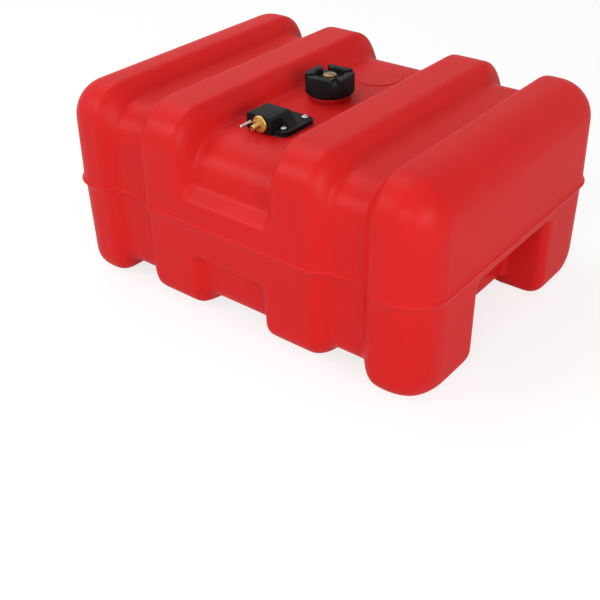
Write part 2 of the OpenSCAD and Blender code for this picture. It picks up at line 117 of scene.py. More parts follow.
def per_mm(size_mm: float) -> float:
    """Gives the texture scale at which one feature is this many millimetres wide."""
    return 1 / (size_mm * MM)


def add_node(
    tree: bpy.types.NodeTree, kind: str, inputs: dict[Any, Any] | None = None, **settings: Any
) -> bpy.types.Node:
    """Adds a shader node with its settings, input values and links.

    Args:
        tree: Node tree that gets the node.
        kind: Blender's name of the node type.
        inputs: Input name or index to a value, or to the socket that feeds it.
        **settings: Properties of the node.

    Returns:
        The new node.
    """
    node = tree.nodes.new(kind)
    for key, value in settings.items():
        setattr(node, key, value)
    for key, value in (inputs or {}).items():
        if isinstance(value, bpy.types.NodeSocket):
            tree.links.new(value, node.inputs[key])
        else:
            node.inputs[key].default_value = value
    return node


def new_material(name: str) -> tuple[bpy.types.Material, bpy.types.NodeTree]:
    """Makes an empty node material.

    Args:
        name: Name of the material.

    Returns:
        The material and its node tree.
    """
    material = bpy.data.materials.new(name)
    material.use_nodes = True
    material.node_tree.nodes.clear()
    return material, material.node_tree


@dataclass(frozen=True)
class MouldedPlastic:
    """A moulded plastic or rubber: pebbled by its mould, with slow changes of tone where it flowed.

    Attributes:
        name: Common name of the material and how it was made.
        colour: Colour of the surface.
        shade: Colour of its darker flow marks.
        roughness: Mean roughness.
        spread: How far the roughness wanders to each side.
        ior: Index of refraction.
        specular: Share of the mirror reflection, under 0.5 where fine texture swallows it.
        pebble_mm: Width of a pebble of the mould's skin.
        pebble_depth_mm: Depth of the pebbles.
        flow_mm: Width of a flow mark.
        skin: Share of the smoother outer skin, which gives the tight part of a highlight.
        skin_roughness: Roughness of that skin.
    """

    name: str
    colour: str
    shade: str
    roughness: float
    spread: float
    ior: float
    specular: float
    pebble_mm: float
    pebble_depth_mm: float
    flow_mm: float
    skin: float = 0.0
    skin_roughness: float = 0.3

    def material(self) -> bpy.types.Material:
        """Builds the material.

        Returns:
            The finished material.
        """
        material, tree = new_material(self.name)
        place = add_node(tree, "ShaderNodeTexCoord").outputs["Object"]
        flow = add_node(
            tree,
            "ShaderNodeTexNoise",
            {"Vector": place, "Scale": per_mm(self.flow_mm), "Detail": 3.0, "Roughness": 0.5},
        ).outputs["Fac"]
        pebble = add_node(
            tree,
            "ShaderNodeTexNoise",
            {"Vector": place, "Scale": per_mm(self.pebble_mm), "Detail": 2.0, "Roughness": 0.55},
        ).outputs["Fac"]
        tone = add_node(
            tree,
            "ShaderNodeMix",
            {"Factor": flow, MIX_A: linear(self.shade), MIX_B: linear(self.colour)},
            data_type="RGBA",
        ).outputs[MIX_RESULT]
        gloss = add_node(
            tree,
            "ShaderNodeMapRange",
            {"Value": flow, "To Min": self.roughness + self.spread, "To Max": self.roughness - self.spread},
        ).outputs["Result"]
        bump = add_node(
            tree,
            "ShaderNodeBump",
            {"Height": pebble, "Distance": self.pebble_depth_mm * MM, "Strength": 1.0},
        ).outputs["Normal"]
        surface = add_node(
            tree,
            "ShaderNodeBsdfPrincipled",
            {
                "Base Color": tone,
                "Roughness": gloss,
                "IOR": self.ior,
                "Specular IOR Level": self.specular,
                "Coat Weight": self.skin,
                "Coat Roughness": self.skin_roughness,
                "Normal": bump,
            },
        )
        add_node(tree, "ShaderNodeOutputMaterial", {"Surface": surface.outputs["BSDF"]})
        return material


@dataclass(frozen=True)
class TurnedMetal:
    """A lathe-turned metal: fine tool rings round its axis and patches of handling.

    Attributes:
        name: Common name of the metal and how it was finished.
        colour: Colour of the bare metal.
        dull: Colour where it has been handled.
        roughness: Roughness between the rings.
        ring_mm: Spacing of the tool rings.
        ring_depth_mm: Depth of the tool rings.
        axis: Axis of the rings.
        centre: A point on that axis.
        ring_waver: How far the rings wander from a true circle.
        ring_strength: Strength of the rings' relief.
        patch_mm: Width of a patch of handling.
        gloss_range: Share of the roughness on the brightest and on the dullest patch.
    """

    name: str
    colour: str
    dull: str
    roughness: float
    ring_mm: float
    ring_depth_mm: float
    axis: Axis
    centre: Point
    ring_waver: float = 0.4
    ring_strength: float = 0.3
    patch_mm: float = 6.0
    gloss_range: tuple[float, float] = (0.75, 1.35)

    def material(self) -> bpy.types.Material:
        """Builds the material.

        Returns:
            The finished material.
        """
        material, tree = new_material(self.name)
        place = add_node(tree, "ShaderNodeTexCoord").outputs["Object"]
        centred = add_node(
            tree, "ShaderNodeMapping", {"Vector": place, "Location": [-c for c in self.centre]}
        ).outputs["Vector"]
        rings = add_node(
            tree,
            "ShaderNodeTexWave",
            {"Vector": centred, "Scale": per_mm(self.ring_mm) / (2 * math.pi), "Distortion": self.ring_waver},
            wave_type="RINGS",
            rings_direction=self.axis.value,
        ).outputs["Fac"]
        handled = add_node(
            tree, "ShaderNodeTexNoise", {"Vector": place, "Scale": per_mm(self.patch_mm), "Detail": 4.0}
        ).outputs["Fac"]
        tone = add_node(
            tree,
            "ShaderNodeMix",
            {"Factor": handled, MIX_A: linear(self.colour), MIX_B: linear(self.dull)},
            data_type="RGBA",
        ).outputs[MIX_RESULT]
        bright, worn = (self.roughness * share for share in self.gloss_range)
        gloss = add_node(
            tree, "ShaderNodeMapRange", {"Value": handled, "To Min": bright, "To Max": worn}
        ).outputs["Result"]
        bump = add_node(
            tree,
            "ShaderNodeBump",
            {"Height": rings, "Distance": self.ring_depth_mm * MM, "Strength": self.ring_strength},
        ).outputs["Normal"]
        surface = add_node(
            tree,
            "ShaderNodeBsdfPrincipled",
            {"Base Color": tone, "Metallic": 1.0, "Roughness": gloss, "Normal": bump},
        )
        add_node(tree, "ShaderNodeOutputMaterial", {"Surface": surface.outputs["BSDF"]})
        return material


def merged_copy(node: str) -> bmesh.types.BMesh:
    """Copies a CAD node's mesh with its loose triangles joined.

    Args:
        node: Name of the CAD node.

    Returns:
        The joined copy.
    """
    bm = bmesh.new()
    bm.from_mesh(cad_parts[node].data)
    bmesh.ops.remove_doubles(bm, verts=bm.verts, dist=WELD)
    return bm


def soften(bm: bmesh.types.BMesh, width: float, segments: int = 3, sharp_deg: float = 28.0) -> None:
    """Rounds the sharp edges of a piece.

    Args:
        bm: Mesh of the piece.
        width: Width of the rounding.
        segments: Steps across the rounding.
        sharp_deg: Face angle from which an edge counts as sharp.
    """
    bmesh.ops.dissolve_limit(
        bm, angle_limit=math.radians(FLAT_DEG), verts=bm.verts, edges=bm.edges, use_dissolve_boundaries=False
    )
    sharp = [e for e in bm.edges if e.is_manifold and e.calc_face_angle(0.0) > math.radians(sharp_deg)]
    bmesh.ops.bevel(
        bm,
        geom=sharp,
        offset=width,
        offset_type="OFFSET",
        segments=segments,
        profile=0.5,
        affect="EDGES",
        material=-1,
        clamp_overlap=True,
    )


def lathe(points: Iterable[tuple[float, float]], centre: Vector, steps: int) -> bmesh.types.BMesh:
    """Spins a profile round an upright axis into a closed piece.

    Args:
        points: Radius and height of the profile, from one end on the axis or bore to the other.
        centre: Foot of the axis.
        steps: Steps round the axis.

    Returns:
        The spun mesh.
    """
    bm = bmesh.new()
    verts = [bm.verts.new(centre + Vector((r, 0, h))) for r, h in points]
    edges = [bm.edges.new(pair) for pair in zip(verts, verts[1:])]
    bmesh.ops.spin(
        bm,
        geom=verts + edges,
        cent=centre,
        axis=(0, 0, 1),
        dvec=(0, 0, 0),
        angle=2 * math.pi,
        steps=steps,
        use_merge=True,
    )
    bmesh.ops.remove_doubles(bm, verts=bm.verts, dist=SPIN_WELD)
    bmesh.ops.recalc_face_normals(bm, faces=bm.faces)
    return bm


def piece(
    bm: bmesh.types.BMesh,
    name: str,
    body: Body,
    material: bpy.types.Material,
    nodes: Iterable[str] = (),
    sharp_deg: float = 40.0,
) -> None:
    """Makes a finished piece of a mesh, smooth where it curves.

    Args:
        bm: Mesh of the piece, which is used up.
        name: Name of the piece.
        body: Body that it rides on.
        material: Its finish.
        nodes: CAD nodes that it stands for.
        sharp_deg: Face angle that stays sharp.
    """
    mesh = bpy.data.meshes.new(name)
    bm.to_mesh(mesh)
    bm.free()
    for polygon in mesh.polygons:
        polygon.use_smooth = True
    mesh.set_sharp_from_angle(angle=math.radians(sharp_deg))
    mesh.materials.append(material)
    obj = bpy.data.objects.new(name, mesh)
    bpy.context.scene.collection.objects.link(obj)
    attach(obj, body.value)
    if nodes:
        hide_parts(*nodes)
    LOG.info("%s: %d faces on %s", name, len(mesh.polygons), body.value)


def dress_node(node: str, material: bpy.types.Material) -> None:
    """Gives a CAD node that stays in view its finish."""
    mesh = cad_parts[node].data
    mesh.materials.clear()
    mesh.materials.append(material)


def ease(share: float) -> float:
    """Steps softly from 0 to 1."""
    t = min(1.0, max(0.0, share))
    return t * t * (3 - 2 * t)


def flank(share: float) -> float:
    """Steps from 0 on a rounded shoulder to 1 at a crisp foot."""
    return min(1.0, max(0.0, share)) ** FLANK_POWER


def sag(radius: float, reach: float) -> float:
    """Gives the sagitta of an arc at a reach from its start."""
    t = max(0.0, min(radius, reach))
    return radius - math.sqrt(radius * radius - t * t)


def bow(share: float) -> float:
    """Falls from 1 to 0 along a quarter circle."""
    return 1 - math.sqrt(1 - (1 - min(1.0, max(0.0, share))) ** 2)


def quarter(steps: int) -> list[tuple[float, float]]:
    """Gives sine and 1 - cosine along a quarter turn."""
    turns = [math.pi / 2 * k / steps for k in range(steps + 1)]
    return [(math.sin(a), 1 - math.cos(a)) for a in turns]


@dataclass(frozen=True)
class TankForm:
    """Form of the moulding, in the sizes of the CAD source and in millimetres.

    A section across the length runs from the mould line over the top and back along the bottom. Its points
    are lean, inset and height: the lean of a wall moves it in both ways, the inset only from front to back.

    Attributes:
        half_len: Half the length at the mould line.
        half_dep: Half the depth at the mould line.
        height: Height over the ridges.
        seam_z: Height of the mould line.
        end_r: Radius of the upright corners.
        edge_r: Radius of the long top edges.
        draft_up: Inward lean of the upper walls.
        draft_low: Inward lean of the lower walls.
        seam_step: Inward step under the mould line.
        bead: How far the mould line stands proud.
        bead_h: Height of its bead.
        groove: Inner and outer wall of the strap grooves.
        groove_slope: Width of a groove wall's slope.
        groove_depth: Depth of the grooves in the faces.
        groove_drop: Depth of the grooves in the top.
        valley_half: Half the width of the valley.
        valley_slope: Width of a valley wall's slope.
        valley_drop: Depth of the valley.
        valley_back_r: Radius where the valley rolls over the back.
        ledge_z: Height of the outer edge of the hand ledge.
        ledge_depth: Depth of the hand ledge.
        ledge_rise: Rise of the hand ledge.
        roll_depth: Depth over which the valley rolls down to the ledge.
        belly_z: Height of the lower edges of the belly.
        foot_r: Radius of the lower edges of the feet.
        foot_side: Width of the rounded sides of the feet.
        foot_gap: Inner and outer edge of the gap between the middle and the outer feet.
        mid_foot_in: Inner edge of the middle feet.
        mid_foot_z: Height of the middle feet over the floor.
        mid_foot_y: Inner side of the middle feet.
        heel_r: Radius of the inner lower edge of the feet.
        tip_lift: Share of the corner rounding that lifts the outer foot.
        arch: Half the width, the height and the depth of an end arch.
        arch_edge_r: Radius of the upright edges of the arches.
        panel: Half the width, the height and the depth of the low front panel.
        panel_slope: Height of the slope over the panel.
        arc_n: Steps along a top rounding.
        toe_n: Steps along a foot rounding.
        end_n: Sections along the rounding of an end.
        column: Spacing of the sections.
        belly_step: Rise of the belly over those edges.
        wall_half: Half the width of the step from the belly up to the roof of an arch.
        clear: Least room between the top rounding and the ledge, and from the even sections to that step.
    """

    half_len: float = 250
    half_dep: float = 187
    height: float = 239
    seam_z: float = 119
    end_r: float = 43
    edge_r: float = 44
    draft_up: float = 0.015
    draft_low: float = 0.006
    seam_step: float = 1
    bead: float = 1.5
    bead_h: float = 8
    groove: tuple[float, float] = (121.5, 182.5)
    groove_slope: float = 18
    groove_depth: float = 12
    groove_drop: float = 20
    valley_half: float = 62
    valley_slope: float = 16.5
    valley_drop: float = 28
    valley_back_r: float = 56
    ledge_z: float = 145
    ledge_depth: float = 16
    ledge_rise: float = 16
    roll_depth: float = 55
    belly_z: float = 17
    foot_r: float = 23
    foot_side: float = 23
    foot_gap: tuple[float, float] = (130, 178)
    mid_foot_in: float = 40
    mid_foot_z: float = 6
    mid_foot_y: float = 110
    heel_r: float = 10
    tip_lift: float = 0.7
    arch: tuple[float, float, float] = (76, 104, 48)
    arch_edge_r: float = 11
    panel: tuple[float, float, float] = (49, 79, 12)
    panel_slope: float = 6
    arc_n: int = 18
    toe_n: int = 10
    end_n: int = 24
    column: float = 1.6
    belly_step: float = 1
    wall_half: float = 0.4
    clear: float = 1

    def end_bite(self, x: float) -> float:
        """Gives the inset of the whole section near the end faces."""
        return sag(self.end_r, abs(x) - (self.half_len - self.end_r))

    def groove_at(self, x: float) -> float:
        """Gives the weight of the strap grooves, from 0 to 1."""
        inside = min(abs(x) - self.groove[0], self.groove[1] - abs(x))
        return flank(inside / self.groove_slope + 0.5)

    def lean(self, z: float) -> float:
        """Gives the lean of the walls at a height."""
        if z >= self.seam_z:
            return self.draft_up * (z - self.seam_z)
        return self.seam_step + self.draft_low * (self.seam_z - z)

    def upper(self, x: float, front: bool) -> list[Point]:
        """Lists the upper half of a section.

        Args:
            x: Place along the length.
            front: Whether it is the side with the hand ledge.

        Returns:
            Points from the mould line to the top.
        """
        bite, groove = self.end_bite(x), self.groove_at(x)
        valley = flank((self.valley_half - abs(x)) / self.valley_slope + 0.5)
        crest = self.height - bite - self.groove_drop * groove
        top = crest if front else crest - self.valley_drop * valley
        base = bite + self.groove_depth * groove
        low = self.ledge_z + self.ledge_rise
        radius = self.edge_r if front else self.edge_r + (self.valley_back_r - self.edge_r) * valley
        radius = min(radius * (1 - bite / self.end_r), top - low - self.clear)
        ridge = [(base, self.ledge_z), (base, low)]
        ridge += [(base + radius * c, top - radius + radius * s) for s, c in quarter(self.arc_n)]
        deep = base + self.ledge_depth
        dip = [(base, self.ledge_z), (deep, low)]
        dip += [
            (deep + self.roll_depth * c, low + (crest - self.valley_drop - low) * s)
            for s, c in quarter(self.arc_n)
        ]
        share = valley if front else 0.0
        bead = [(-self.bead * (1 - ease(t)), base, self.seam_z + self.bead_h * t) for t in BEAD_STEPS]
        blend = [(p[0] + (q[0] - p[0]) * share, p[1] + (q[1] - p[1]) * share) for p, q in zip(ridge, dip)]
        return bead + [(self.lean(z), inset, z) for inset, z in blend]

    def ground(self, x: float) -> float:
        """Gives the height of the ground line of the feet at a distance from the middle."""
        if x > sum(self.foot_gap) / 2:
            tip = self.tip_lift * sag(self.foot_r, x - (self.half_len - self.foot_r))
            return max(self.belly_z * bow((x - self.foot_gap[1]) / self.foot_side), tip)
        inner = min((x - self.mid_foot_in) / self.foot_side, (self.foot_gap[0] - x) / self.foot_side)
        return self.mid_foot_z + (self.belly_z - self.mid_foot_z) * bow(inner)

    def lower(self, x: float, roof: float, front: bool) -> list[Point]:
        """Lists the lower half of a section.

        Args:
            x: Place along the length.
            roof: Height of the underside between the feet.
            front: Whether it is the side with the low panel.

        Returns:
            Points from the mould line over the foot to the underside.
        """
        far = abs(x)
        base = self.end_bite(x) + self.groove_depth * self.groove_at(x)
        half, high, depth = self.panel
        dent = depth * (1 - ease((far - half) / self.foot_side * 2 + 0.5)) if front else 0.0
        step = self.bead + self.lean(self.seam_z - self.bead_h)
        points = [
            (
                step * ease((1 + LIP_STRAIGHT) * t - LIP_STRAIGHT) - self.bead,
                base,
                self.seam_z - self.bead_h * (LIP_START + LIP_SPAN * t),
            )
            for t in BEAD_STEPS
        ]
        points += [
            (self.lean(high - self.panel_slope * t), base + dent * ease(t), high - self.panel_slope * t)
            for t in PANEL_STEPS
        ]
        foot = self.ground(far)
        for s, c in quarter(self.toe_n):
            z = foot + self.foot_r * (1 - s)
            points.append((self.lean(z), base + dent + self.foot_r * c, z))
        flare = sag(self.arch_edge_r, self.arch_edge_r - (self.half_len - far))
        inner = self.arch[0] + flare if far > sum(self.foot_gap) / 2 else self.mid_foot_y
        radius = min(self.heel_r, (roof - foot) / 2)
        for s, c in quarter(self.toe_n):
            z = foot + radius * c
            points.append((self.lean(z), self.half_dep - self.lean(z) - inner - radius * (1 - s), z))
        points.append((self.lean(roof), self.half_dep - self.lean(roof) - inner, roof))
        return points

    def section(self, x: float, roof: float) -> list[Vector]:
        """Lists the closed section at a place along the length.

        Args:
            x: Place along the length.
            roof: Height of the underside between the feet.

        Returns:
            Points of the section, in metres.
        """
        round_trip = (
            (self.upper(x, front=True), -1),
            (self.upper(x, front=False)[::-1], 1),
            (self.lower(x, roof, front=False), 1),
            (self.lower(x, roof, front=True)[::-1], -1),
        )
        return [
            Vector((x * (1 - lean / self.half_len), side * (self.half_dep - lean - inset), z)) * MM
            for half, side in round_trip
            for lean, inset, z in half
        ]

    def sections(self) -> list[list[Vector]]:
        """Lists the sections from the left end to the right end.

        Returns:
            The sections, each with the same number of points.
        """
        wall = self.half_len - self.arch[2]
        start = self.half_len - self.end_r
        belly, roof = self.belly_z + self.belly_step, self.arch[1]
        half = [(self.column * k, belly) for k in range(int((wall - self.clear) / self.column) + 1)]
        half += [(wall - self.wall_half, belly), (wall + self.wall_half, roof)]
        half += [(start + self.end_r * s, roof) for s, _ in quarter(self.end_n)]
        left = [self.section(-x, under) for x, under in reversed(half[1:])]
        return left + [self.section(x, under) for x, under in half]


@dataclass
class TankMoulding:
    """The one-piece red moulding, shown as the halves over and under its mould line.

    Attributes:
        form: Form of the moulding.
        voxel: Mesh size of its skin.
        passes: Smoothing passes over the skin.
        sharp_deg: Face angle of the skin that stays sharp.
        disc_centre: Middle of the plain disc behind the cap, on the valley floor.
        disc_r: Radius of that disc.
        disc_h: Its height over the valley floor, and its depth under it.
        disc_edge: Rounding of its rim.
        disc_n: Steps round it.
        flash: Height and reach of the parting line's section, from below to above the seam.
    """

    form: TankForm = TankForm()
    voxel: float = 2.4 * MM
    passes: int = 3
    sharp_deg: float = 60
    disc_centre: Point = (0.0, 98 * MM, VALLEY_FLOOR)
    disc_r: float = 30 * MM
    disc_h: float = 0.9 * MM
    disc_edge: float = 0.5 * MM
    disc_n: int = 96
    flash: tuple[tuple[float, float], ...] = (
        (-2.0, -0.4),
        (-1.3, 0.5),
        (-0.4, 1.0),
        (0.5, 1.0),
        (1.5, 0.5),
        (2.6, -0.4),
    )

    def loft(self) -> bpy.types.Mesh:
        """Bends a grid round the sections and closes its ends.

        Returns:
            The closed rough skin.
        """
        sections = self.form.sections()
        columns, rows = len(sections), len(sections[0])
        bm = bmesh.new()
        bmesh.ops.create_grid(bm, x_segments=columns - 1, y_segments=rows, size=0.5)
        for vert in bm.verts:
            column, row = round((vert.co.x + 0.5) * (columns - 1)), round((vert.co.y + 0.5) * rows)
            vert.co = sections[column][row % rows]
        self.close_ends(bm, columns, rows)
        bmesh.ops.remove_doubles(bm, verts=bm.verts, dist=LOFT_WELD)
        bmesh.ops.recalc_face_normals(bm, faces=bm.faces)
        mesh = bpy.data.meshes.new("rough_skin")
        bm.to_mesh(mesh)
        bm.free()
        return mesh

    def close_ends(self, bm: bmesh.types.BMesh, columns: int, rows: int) -> None:
        """Closes the end faces with strips from front to back, and with a face on each foot.

        Args:
            bm: The bent grid, row by row.
            columns: Number of sections.
            rows: Points of a section.
        """
        top = len(self.form.upper(0, front=True))
        low = len(self.form.lower(0, self.form.belly_z, front=True))
        bead = len(BEAD_STEPS)
        back, front = 2 * top, rows - 1
        strips = [(k, k + 1, back - 2 - k, back - 1 - k) for k in range(top - 1)]
        strips += [(front, 0, back - 1, back)]
        strips += [(front - k, front - 1 - k, back + k + 1, back + k) for k in range(bead - 1)]
        strips += [(back + bead - 1, back + low - 1, back + low, front - bead + 1)]
        strips += [tuple(range(back + bead - 1, back + low)), tuple(range(back + low, front - bead + 2))]
        bm.verts.ensure_lookup_table()
        for column in (0, columns - 1):
            for strip in strips:
                bm.faces.new([bm.verts[row * columns + column] for row in strip])

    def skin(self) -> bmesh.types.BMesh:
        """Gives the skin an even mesh and softens it.

        Returns:
            The finished skin.
        """
        rough = self.loft()
        holder = bpy.data.objects.new("rough_skin", rough)
        bpy.context.scene.collection.objects.link(holder)
        remesh = holder.modifiers.new("skin", "REMESH")
        remesh.mode = "VOXEL"
        remesh.voxel_size = self.voxel
        bm = bmesh.new()
        bm.from_object(holder, bpy.context.evaluated_depsgraph_get())
        bpy.data.objects.remove(holder)
        bpy.data.meshes.remove(rough)
        for _ in range(self.passes):
            bmesh.ops.smooth_vert(
                bm, verts=bm.verts, factor=0.5, use_axis_x=True, use_axis_y=True, use_axis_z=True
            )
        return bm

    def cut_at_seam(self, bm: bmesh.types.BMesh, drop_lower: bool, drop_upper: bool) -> None:
        """Cuts the skin along the mould line.

        Args:
            bm: Copy of the skin.
            drop_lower: Whether the part under the line goes.
            drop_upper: Whether the part over the line goes.
        """
        bmesh.ops.bisect_plane(
            bm,
            geom=bm.verts[:] + bm.edges[:] + bm.faces[:],
            dist=CUT,
            plane_co=(0, 0, self.form.seam_z * MM),
            plane_no=(0, 0, 1),
            clear_inner=drop_lower,
            clear_outer=drop_upper,
        )

    def parting_line(self, whole: bmesh.types.BMesh, finish: bpy.types.Material) -> None:
        """Builds the thin flash that the halves of the mould leave along the seam.

        Args:
            whole: The finished skin.
            finish: Finish of the moulding.
        """
        bm = whole.copy()
        self.cut_at_seam(bm, drop_lower=True, drop_upper=True)
        ring, verts = bm.edges[:], bm.verts[:]
        first = ring[:]
        last = (0.0, 0.0)
        for point in self.flash:
            if point is not self.flash[0]:
                grown = bmesh.ops.extrude_edge_only(bm, edges=ring)["geom"]
                verts = [g for g in grown if isinstance(g, bmesh.types.BMVert)]
                fresh = set(verts)
                ring = [g for g in grown if isinstance(g, bmesh.types.BMEdge) and fresh.issuperset(g.verts)]
            reach = point[1] - last[1]
            bmesh.ops.translate(bm, vec=(0, 0, (point[0] - last[0]) * MM), verts=verts)
            bmesh.ops.scale(
                bm, vec=(1 + reach / self.form.half_len, 1 + reach / self.form.half_dep, 1), verts=verts
            )
            last = point
        bmesh.ops.bridge_loops(bm, edges=first + ring)
        bmesh.ops.recalc_face_normals(bm, faces=bm.faces)
        piece(bm, "parting_line", Body.TANK, finish)

    def build(self, finish: bpy.types.Material) -> None:
        """Builds the moulding and the plain disc.

        Args:
            finish: Finish of the moulding.
        """
        whole = self.skin()
        for name, keep_upper in (("upper_moulding", True), ("lower_moulding", False)):
            bm = whole.copy()
            self.cut_at_seam(bm, drop_lower=keep_upper, drop_upper=not keep_upper)
            bmesh.ops.holes_fill(bm, edges=[e for e in bm.edges if e.is_boundary], sides=0)
            piece(bm, name, Body.TANK, finish, ["tank_shell"], self.sharp_deg)
        self.parting_line(whole, finish)
        whole.free()
        disc = lathe(
            [
                (0, -self.disc_h),
                (self.disc_r, -self.disc_h),
                (self.disc_r, self.disc_h - self.disc_edge),
                (self.disc_r - self.disc_edge, self.disc_h),
                (0, self.disc_h),
            ],
            Vector(self.disc_centre),
            self.disc_n,
        )
        piece(disc, "moulded_disc", Body.TANK, finish)


@dataclass
class CapAssembly:
    """Filler neck, screw cap and vent screw.

    Attributes:
        axis: Foot of the filler's axis, on the valley floor.
        bore_r: Radius of the neck's bore.
        spigot: Radius and depth of the spigot in the tank.
        seat: Radius and height of the neck's seat.
        core_r: Radius of the neck between its threads.
        crest_r: Radius over its threads.
        neck_h: Height of the neck.
        neck_n: Steps round the neck.
        thread_from: Height at which the thread starts.
        thread_lead: Rise of the thread in one turn.
        thread_starts: Threads side by side.
        thread_turn: Turns of each thread.
        thread_w: Width of a thread at its root.
        thread_sink: How deep its root lies in the neck.
        thread_n: Steps along a thread.
        edge: Rounding of the cap's edges.
        neck_edge: Rounding of the neck's edges.
        vent_head: Radius and depth of the knurl on the vent screw's head.
        knurl_land: Land left round each notch of the knurl.
        rim_from: Share of the head's radius from which a face belongs to the rim.
        upright: Upward part of a face's normal under which the face counts as upright.
        vent_sharp_deg: Face angle of the vent screw that stays sharp.
    """

    axis: Point = (FILLER_X, FILLER_Y, VALLEY_FLOOR)
    bore_r: float = 18.5 * MM
    spigot: tuple[float, float] = (22.9 * MM, 7 * MM)
    seat: tuple[float, float] = (24.5 * MM, 5.6 * MM)
    core_r: float = 21.6 * MM
    crest_r: float = 23.0 * MM
    neck_h: float = 17.8 * MM
    neck_n: int = 72
    thread_from: float = 7.2 * MM
    thread_lead: float = 8.0 * MM
    thread_starts: int = 2
    thread_turn: float = 0.95
    thread_w: float = 2.2 * MM
    thread_sink: float = 0.3 * MM
    thread_n: int = 64
    edge: float = 0.7 * MM
    neck_edge: float = 0.5 * MM
    vent_head: tuple[float, float] = (7.8 * MM, 0.3 * MM)
    knurl_land: float = 0.12 * MM
    rim_from: float = 0.97
    upright: float = 0.1
    vent_sharp_deg: float = 30

    def neck(self, finish: bpy.types.Material) -> None:
        """Builds the threaded neck.

        Args:
            finish: Finish of the neck, darkened with painted shade from the cap.
        """
        seat_r, seat_h = self.seat
        spigot_r, spigot_h = self.spigot
        profile = [
            (self.bore_r, -spigot_h),
            (spigot_r, -spigot_h),
            (spigot_r, 0),
            (seat_r, 0),
            (seat_r, seat_h),
            (self.core_r, seat_h),
            (self.core_r, self.neck_h),
            (self.bore_r, self.neck_h),
            (self.bore_r, -spigot_h),
        ]
        centre = Vector(self.axis)
        bm = lathe(profile, centre, self.neck_n)
        soften(bm, self.neck_edge)
        for start in range(self.thread_starts):
            turn = Matrix.Rotation(2 * math.pi * start / self.thread_starts, 3, "Z")
            root, crest, half = self.core_r - self.thread_sink, self.crest_r, self.thread_w / 2
            corners = ((root, -half), (crest, -half / 3), (crest, half / 3), (root, half))
            verts = [bm.verts.new(centre + turn @ Vector((r, 0, self.thread_from + h))) for r, h in corners]
            tooth = bm.faces.new(verts)
            bmesh.ops.spin(
                bm,
                geom=[tooth, *tooth.edges, *verts],
                cent=centre,
                axis=(0, 0, 1),
                dvec=(0, 0, self.thread_lead * self.thread_turn / self.thread_n),
                angle=2 * math.pi * self.thread_turn,
                steps=self.thread_n,
            )
        bmesh.ops.recalc_face_normals(bm, faces=bm.faces)
        piece(bm, "threaded_neck", Body.TANK, finish, ["filler_neck"])

    def vent(self, finish: bpy.types.Material) -> None:
        """Builds the vent screw with a knurled head.

        Args:
            finish: Finish of the screw.
        """
        bm = merged_copy("vent_screw")
        bmesh.ops.dissolve_limit(bm, angle_limit=math.radians(FLAT_DEG), verts=bm.verts, edges=bm.edges)
        radius, depth = self.vent_head
        middle = Vector(self.axis).to_2d()
        rim = [
            f
            for f in bm.faces
            if abs(f.normal.z) < self.upright
            and (f.calc_center_median().to_2d() - middle).length > self.rim_from * radius
        ]
        rim.sort(key=lambda f: math.atan2(*(f.calc_center_median().to_2d() - middle)))
        bmesh.ops.inset_individual(
            bm, faces=rim[::2], thickness=self.knurl_land, depth=-depth, use_even_offset=True
        )
        piece(bm, "vent_knob", Body.VENT, finish, ["vent_screw"], self.vent_sharp_deg)

    def build(
        self,
        red: bpy.types.Material,
        black: bpy.types.Material,
        rubber: bpy.types.Material,
        brass: bpy.types.Material,
        steel: bpy.types.Material,
    ) -> None:
        """Builds the pieces round the filler.

        Args:
            red: Finish of the neck, darkened with painted shade from the cap.
            black: Finish of the cap.
            rubber: Finish of the seals.
            brass: Finish of the vent screw and its bush.
            steel: Finish of the retaining ring.
        """
        self.neck(red)
        cap = merged_copy("cap_body")
        soften(cap, self.edge)
        piece(cap, "screw_cap", Body.CAP, black, ["cap_body"])
        self.vent(brass)
        for node, material in (
            ("cap_gasket", rubber),
            ("vent_washer", rubber),
            ("vent_bush", brass),
            ("vent_clip", steel),
        ):
            dress_node(node, material)


@dataclass
class OutletAssembly:
    """Fuel outlet block with its nipple, guide pin, screws and pickup.

    Attributes:
        edge: Rounding of the block's edges.
        metal_edge: Rounding of the metal edges.
    """

    edge: float = 0.9 * MM
    metal_edge: float = 0.3 * MM

    def build(
        self,
        black: bpy.types.Material,
        rubber: bpy.types.Material,
        brass: bpy.types.Material,
        steel: bpy.types.Material,
        pale: bpy.types.Material,
    ) -> None:
        """Builds the pieces of the outlet.

        Args:
            black: Finish of the block and the pickup tube.
            rubber: Finish of the seals.
            brass: Finish of the nipple and the inserts.
            steel: Finish of the pin and the screws.
            pale: Finish of the strainer.
        """
        block = merged_copy("outlet_body")
        soften(block, self.edge)
        piece(block, "outlet_block", Body.TANK, black, ["outlet_body"])
        for node, name, slot, material in (
            ("fuel_nipple", "nipple", Slot.BRASS, brass),
            ("guide_pin", "pin", Slot.STEEL, steel),
            ("flange_screws", "screws", Slot.STEEL, steel),
        ):
            bm = merged_copy(node)
            soften(bm, self.metal_edge, segments=2)
            piece(bm, name, Body.TANK, material, [node])
        for node, material in (
            ("outlet_gasket", rubber),
            ("nipple_seal", rubber),
            ("screw_inserts", brass),
            ("pickup_tube", black),
            ("pickup_strainer", pale),
        ):
            dress_node(node, material)


@dataclass(frozen=True)
class Softbox:
    """A soft rectangular lamp.

    Attributes:
        name: Name of the lamp.
        place: Its place.
        size: Its width and height.
        watts: Its power.
    """

    name: str
    place: Point
    size: tuple[float, float]
    watts: float

    def hang(self, target: Point) -> None:
        """Hangs the lamp so that it faces a point.

        Args:
            target: Point that it faces.
        """
        data = bpy.data.lights.new(self.name, "AREA")
        data.shape = "RECTANGLE"
        data.size, data.size_y = self.size
        data.energy = self.watts
        obj = bpy.data.objects.new(self.name, data)
        aim = Vector(target) - Vector(self.place)
        obj.matrix_world = Matrix.Translation(self.place) @ aim.to_track_quat("-Z", "Y").to_matrix().to_4x4()
        bpy.context.scene.collection.objects.link(obj)


